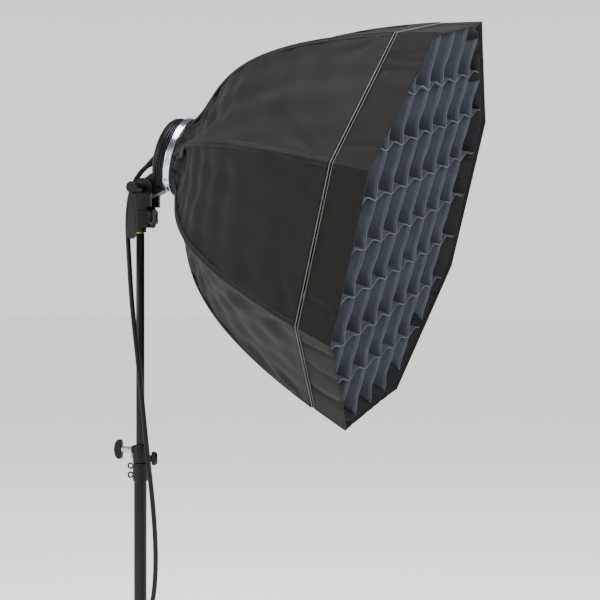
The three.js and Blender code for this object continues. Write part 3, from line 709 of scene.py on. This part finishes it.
def addChannels():
    t = np.linspace(0.035, light["seam"] - 0.004, 120)
    a = np.array([-7.0, -6.6, -4, -2, -1.2, -0.5, 0, 0.5, 1.2, 2, 4, 6.6, 7.0])
    height = channel["lift"] + channel["ridge"] * np.exp(-((a / 0.9) ** 2))
    height[[0, -1]] = -0.4
    allPoints, allUv = [], []
    for j in range(sides):
        tt, aa = np.meshgrid(t, a, indexing="ij")
        panel = np.where(aa < 0, j - 1, j)
        across = np.where(aa < 0, halfPanel(tt) + aa, -halfPanel(tt) + aa)
        wave = 0.25 * np.sin(tt * 95 + j) * np.abs(aa) / 7
        # the strip lies flat beside the flap, which has its hinge on this rib
        beside = np.clip((0.3 - tt) / 0.015, 0, 1) * (j == 2)
        rise = np.where(aa > -1.5, height[None] * (1 - beside), height[None])
        allPoints.append(panelPoint(panel, tt, -(rise + wave * (1 - beside)), across))
        allUv.append(sheetUv(j + 0 * aa, aa, tt))
    grid = quads(len(t), len(a))
    faces = np.vstack([grid + k * t.size * a.size for k in range(sides)])
    strip = meshPiece("rod_channels", np.array(allPoints), faces[:, ::-1], np.array(allUv))
    thicken(strip, 0.5)
    dress(strip, "softbox", bindingTape)


def addStitches():
    # each stitch is a six-sided bead 2.9 long, laid along its row; the beads are placed as one array
    ribLength = lengthOf(np.stack(ribLine(np.linspace(0, 1, 300)), 1))
    count = int(ribLength * light["seam"] / channel["every"])
    t = np.linspace(0.05, light["seam"] - 0.01, count)
    rows = []
    for j in range(sides):
        for side in (-1, 1):
            panel = j if side > 0 else j - 1
            for end in (0, 1):
                tt = t + end * channel["stitch"] / ribLength
                across = -side * (halfPanel(tt) - channel["row"])
                rows.append(panelPoint(panel, tt, -(channel["lift"] + 0.15), across))
    start, finish = np.vstack(rows[0::2]), np.vstack(rows[1::2])
    heading = (finish - start) / np.linalg.norm(finish - start, axis=1, keepdims=True)
    a = np.cross(heading, light["forward"])
    a /= np.linalg.norm(a, axis=1, keepdims=True)
    b = np.cross(heading, a)
    angle = np.arange(6) * math.pi / 3
    circle = np.cos(angle)[:, None, None] * a + np.sin(angle)[:, None, None] * b
    circle = channel["thread"] * mm * circle
    share = np.array([0.0, 0.25, 0.75, 1.0])
    wide = np.array([0.25, 1.0, 1.0, 0.25])
    line = start[None] + share[:, None, None] * (finish - start)[None]
    points = line[:, None] + wide[:, None, None, None] * circle[None]
    points = points.transpose(2, 0, 1, 3).reshape(-1, 24, 3)
    bead = [tuple(f) for f in quads(4, 6, False, True)] + [(0, 1, 2, 3, 4, 5), (23, 22, 21, 20, 19, 18)]
    faces = [tuple(k * 24 + v for v in f) for k in range(len(points)) for f in bead]
    stitches = turnOut(meshPiece("seam_stitches", points, faces))
    addUv(dress(stitches, "softbox", threadNylon))


# Flap over the rod ends: hinged on the rib before its panel
flap = {"panel": 2, "from": 0.05, "to": 0.27, "width": 17.0, "lift": 1.6}


def addFlap():
    t = np.linspace(flap["from"], flap["to"], 60)[:, None]
    v = np.linspace(0, 1, 14)[None]
    t, v = np.broadcast_arrays(t, v)
    curl = 0.5 * np.sin(math.pi * v) + 0.5 * v * np.sin(t * 60) ** 2
    across = 1 - halfPanel(t) + flap["width"] * v
    points = panelPoint(flap["panel"], t, -(flap["lift"] + 0.2 + curl), across)
    piece = meshPiece("rod_pocket_flap", points, quads(60, 14)[:, ::-1], sheetUv(2, flap["width"] * v, t))
    thicken(piece, 0.9, 1)
    dress(piece, "flap", bindingTape)
    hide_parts("access_flap")


print("lip, piping, channels and flap")
threadNylon = wovenCloth("sewing_thread_grey", "#1c1c1c", "#3a3a39", 0.6, 0.05, 0.6)
addLip()
addPiping()
addChannels()
addStitches()
addFlap()

# Diffusers: white cloth, drawn tight to its corners


def cutReach(angle, flat, corner):
    # distance to the edge of an octagon with its corners cut square, in the direction of each angle
    toSide = flat / np.cos((angle % step) - step / 2)
    toCut = corner / np.cos((angle + step / 2) % step - step / 2)
    return np.minimum(toSide, toCut)


diffusers = {
    "front_diffuser": {"height": 333.6, "flat": 281, "corner": 296, "crown": 0.4},
    "inner_diffuser": {"height": 189.6, "flat": 185, "corner": 199, "crown": 0.5},
}


def addDiffuser(name, node, body):
    flat, corner = diffusers[node]["flat"], diffusers[node]["corner"]
    angle = np.linspace(0, 2 * math.pi, 192, endpoint=False)[None]
    share = np.linspace(0.0, 1, 60)[:, None] ** 0.8
    reach = cutReach(angle, flat, corner) * (1 + 0 * share)
    ripple = np.sin(8 * angle + 5 * share) * share**4 * 0.8 + np.sin(13 * angle) * share**6 * 0.5
    crown = diffusers[node]["crown"] * (1 - share**2)
    height = diffusers[node]["height"] + crown + ripple * (1 - share**12)
    x, y = share * reach * np.cos(angle), share * reach * np.sin(angle)
    points = toRow(x, y, height)
    uv = np.stack([x, y], -1) * mm
    cloth = turnOut(meshPiece(name, points, quads(60, 192, False, True), uv))
    thicken(cloth, 0.5, 0)
    dress(cloth, body, whiteNylon)
    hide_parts(node)


def addInnerTabs():
    # a tape tab from each corner of the inner diffuser out to its rod
    points, faces, uv = [], [], []
    for j in range(sides):
        r = np.linspace(194, 232, 10)[:, None]
        w = np.linspace(-6.5, 6.5, 5)[None]
        r, w = np.broadcast_arrays(r, w)
        c, s = math.cos(j * step), math.sin(j * step)
        height = diffusers["inner_diffuser"]["height"] + 0.8 * np.sin(r / 6)
        points.append(toRow(r * c - w * s, r * s + w * c, height))
        uv.append(np.stack([r, w], -1) * mm)
        faces.append(quads(10, 5) + 50 * j)
    tabs = meshPiece("baffle_tabs", np.array(points), np.vstack(faces), np.array(uv))
    thicken(tabs, 1.0, 0)
    dress(tabs, "softbox", bindingTape)


print("diffusers")
addDiffuser("front_diffusing_cloth", "front_diffuser", "diffuser")
addDiffuser("inner_diffusing_cloth", "inner_diffuser", "softbox")
addInnerTabs()

# Grid: an egg crate of satin nylon strips inside a hem

grid = {"low": 337.0, "high": 386.0, "rear": (281.0, 297.0), "front": (294.0, 310.0), "pitch": 71.0,
        "cloth": 0.6, "sag": 9.0, "archUp": 8.0, "leanDown": 5.0, "perCell": 12, "deep": 9, "edge": 0.75}


def gridSize(z):
    share = (z - grid["low"]) / (grid["high"] - grid["low"])
    return tuple(grid["rear"][k] + share * (grid["front"][k] - grid["rear"][k]) for k in (0, 1))


def webReach(p, z):
    # half the length of a web at distance p from the middle: the nearest of the flats and cut corners
    flat, corner = gridSize(z)
    c, s = math.cos(step / 2), math.sin(step / 2)
    p = np.abs(p)
    edges = [flat + 0 * p, math.sqrt(2) * flat - p, (corner - p * c) / s, (corner - p * s) / c]
    return np.minimum.reduce(edges) - 1.9


def gridSag(p, q, depth):
    # the whole crate hangs a little: most in the middle and at its front edge, nothing at the hem
    flat = grid["front"][0]
    free = np.clip(1 - (p / flat) ** 2, 0, 1) * np.clip(1 - (q / flat) ** 2, 0, 1)
    down = -0.5 * grid["sag"] * free * (0.35 + 0.65 * depth)
    turn = light["firstRib"] + step / 2
    return down * math.sin(turn), down * math.cos(turn)


def gridWeb(k, across):
    # a strip along q at distance k pitches: between crossings it bulges to one side, more at its front
    cells = 2 * 4.2 * grid["perCell"]
    along, front = np.linspace(-1, 1, int(cells)), np.linspace(0, 1, grid["deep"])
    share, depth = np.meshgrid(along, front, indexing="ij")
    z = grid["low"] + 0.8 + depth * (grid["high"] - grid["low"] - 1.6)
    p = k * grid["pitch"] + 0 * share
    q = share * webReach(p, z)
    cell = np.floor(q / grid["pitch"]).astype(int) + 5
    strength = rng.uniform(0.55, 1.0, 12)[cell]
    low = 1 - np.mod(q / grid["pitch"], 1.0)
    arch = np.sin(math.pi * low ** (1.6 if across else 1.0)) ** 2
    twist = 0.35 * np.sin(2 * math.pi * q / grid["pitch"]) * (depth - 0.4) * rng.uniform(-1, 1, 12)[cell]
    bulge = grid["leanDown"] if across else grid["archUp"]
    p = p + bulge * (arch * strength * (0.25 + 0.75 * depth) + twist)
    z = z - 2.2 * arch * depth * strength
    if across:
        p, q = q, p
    dp, dq = gridSag(p, q, depth)
    p, q = p + dp, q + dq
    c, s = math.cos(step / 2), math.sin(step / 2)
    return toRow(p * c - q * s, p * s + q * c, z), np.stack([share * 0.3, depth * 0.05], -1)


def addGrid():
    crate = [gridWeb(k, across) for across in (False, True) for k in range(-3, 4)]
    shape = crate[0][0].shape[:2]
    faces = np.vstack([quads(*shape) + n * shape[0] * shape[1] for n in range(len(crate))])
    webs = meshPiece("grid_webs", np.array([w[0] for w in crate]), faces, np.array([w[1] for w in crate]))
    thicken(webs, grid["cloth"], 0)
    dress(webs, "grid", gridNylon)
    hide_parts("grid_lattice")
    # a bound edge along the front of every web
    tapes = [sweep("edge", points[:, -1], grid["edge"] * mm, light["forward"], 6) for points, uv in crate]
    dress(joined("grid_edge_binding", tapes), "grid", edgeSatin)
    hem = refined("grid_frame_hem", "grid_hem", 0)
    dress(hem, "grid", bindingTape)
    addUv(hem)


def joined(name, pieces):
    form = bmesh.new()
    for piece in pieces:
        form.from_mesh(piece.data)
        bpy.data.objects.remove(piece)
    mesh = bpy.data.meshes.new(name)
    form.to_mesh(mesh)
    form.free()
    piece = bpy.data.objects.new(name, mesh)
    bpy.context.collection.objects.link(piece)
    addUv(piece)
    return piece


print("grid")
edgeSatin = wovenCloth("satin_binding_slate", "#1d2024", "#555a61", 0.9, 0.05, 0.5)
addGrid()

# Head


def addHead():
    n, u, c = light["forward"], light["up"], light["centre"]
    ring = turned("bayonet_ring", [
        [50.7, 0.5], [60.6, 0.4], [61.6, 0.9], [62, 1.8], [61.9, 3.1], [60.9, 3.6], [60.9, 4.4],
        [61.7, 5], [61.7, 8.4], [62, 9.6], [61.6, 10.8], [60.6, 11.2], [50.7, 11.1],
    ], c, n, 160)
    dress(ring, "ring", ringAluminium)
    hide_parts("lock_ring")
    outline = [[46, -13.9], [55.4, -13.9], [56.2, -13.2]]
    for low in (-12.8, -8.9, -5.0):
        outline += [[56.9, low], [57, low + 0.5], [57, low + 1.9]]
        outline += [[56.8, low + 2.3], [55.2, low + 2.7], [55.2, low + 3.3]]
    outline += [[56.6, -1.4], [56.6, -0.8], [55.8, -0.3], [50.2, -0.2]]
    outline += [[50, 0.4], [50, 79.2], [49.4, 79.8], [46, 79.8]]
    housing = turned("flash_head_housing", outline, c, n, 144)
    dress(housing, "head", blackAbs)
    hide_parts("head_housing")
    for name, node, body, bevel, slot, material in (
        ("speedring_hub", "speedring", "softbox", 0.3, "black_plastic", blackAbs),
        ("rear_cover", "rear_cap", "head", 0.5, "black_plastic", blackAbs),
        ("modelling_lamp_button", "lamp_button", "button", 0.4, "grey_plastic", greyAbs),
        ("tilt_arm", "mount_arm", "head", 1.0, "black_plastic", blackAbs),
        ("tilt_bracket", "bracket_body", "bracket", 1.0, "black_plastic", blackAbs),
        ("tilt_bolt_and_nut", "tilt_bolt", "bracket", 0.4, "steel", zincSteel),
        ("lever_hub_turned", "lever_hub", "lever", 0.9, "black_plastic", blackAbs),
        ("tilt_lever_blade", "tilt_lever", "lever", 1.1, "grey_plastic", greyAbs),
        ("tee_handle", "tee_knob", "tee_lock", 1.8, "black_plastic", blackAbs),
        ("upper_collar", "collar_upper", "stand", 0.5, "black_plastic", blackAbs),
        ("lower_collar", "collar_lower", "stand", 0.4, "black_plastic", blackAbs),
        ("small_lock_knob", "leg_lock_knob", "leg_lock", 0.6, "black_plastic", blackAbs),
        ("stand_spigot", "brass_spigot", "column", 0.3, "brass", spigotBrass),
    ):
        dress(refined(name, node, bevel), body, material)
    knob = turned("clamp_hand_wheel", [
        [0, 0.1], [13.6, 0.1], [14.9, 0.8], [15.6, 2], [15.6, 5.2], [14.8, 6.7], [13, 7.4],
        [8, 7.4], [7.2, 6.6], [0, 6.4],
    ], [17.6, 0, 754.5], [1, 0, 0], 144, 6, 1.7)
    dress(knob, "clamp", blackAbs)
    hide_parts("clamp_knob")


def addTubes():
    upperOutline = [[5.4, 300.3], [6.3, 300.3], [6.6, 300.8], [6.6, 728.5], [6.3, 729], [5.4, 729]]
    upper = turned("upper_column_tube", upperOutline, [0, 0, 0], [0, 0, 1], 64)
    dress(upper, "column", blackAnodised)
    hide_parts("upper_tube")
    # the lower tube is closed by a plug 4 thick at its foot
    lowerOutline = [[0, 0], [9.6, 0], [10, 0.5], [10, 351.6], [9.7, 352], [8.5, 352], [8.5, 4], [0, 4]]
    lower = turned("lower_column_tube", lowerOutline, [0, 0, 0], [0, 0, 1], 72)
    dress(lower, "stand", blackAnodised)
    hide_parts("lower_tube")


def dressCadNodes():
    finishes = {
        "tee_knob_shaft": zincSteel, "clamp_screw": zincSteel, "lamp_heat_sink": zincSteel,
        "friction_washer_1": greyAbs, "friction_washer_2": greyAbs, "collar_bush": greyAbs,
        "modelling_lamp": lampGlass, "glass_cover": lampGlass, "flash_tube": lampGlass,
        "circuit_board": boardResin, "reflector_dish": reflectorMetal, "guide_plug": blackAbs,
    }
    finishes.update({f"rod_{k + 1}": rodFibre for k in range(sides)})
    for node, material in finishes.items():
        piece = frame["nodes"][node]
        piece.data.materials.clear()
        piece.data.materials.append(material)


print("head, bracket and column")
addHead()
addTubes()
dressCadNodes()

print("finish")
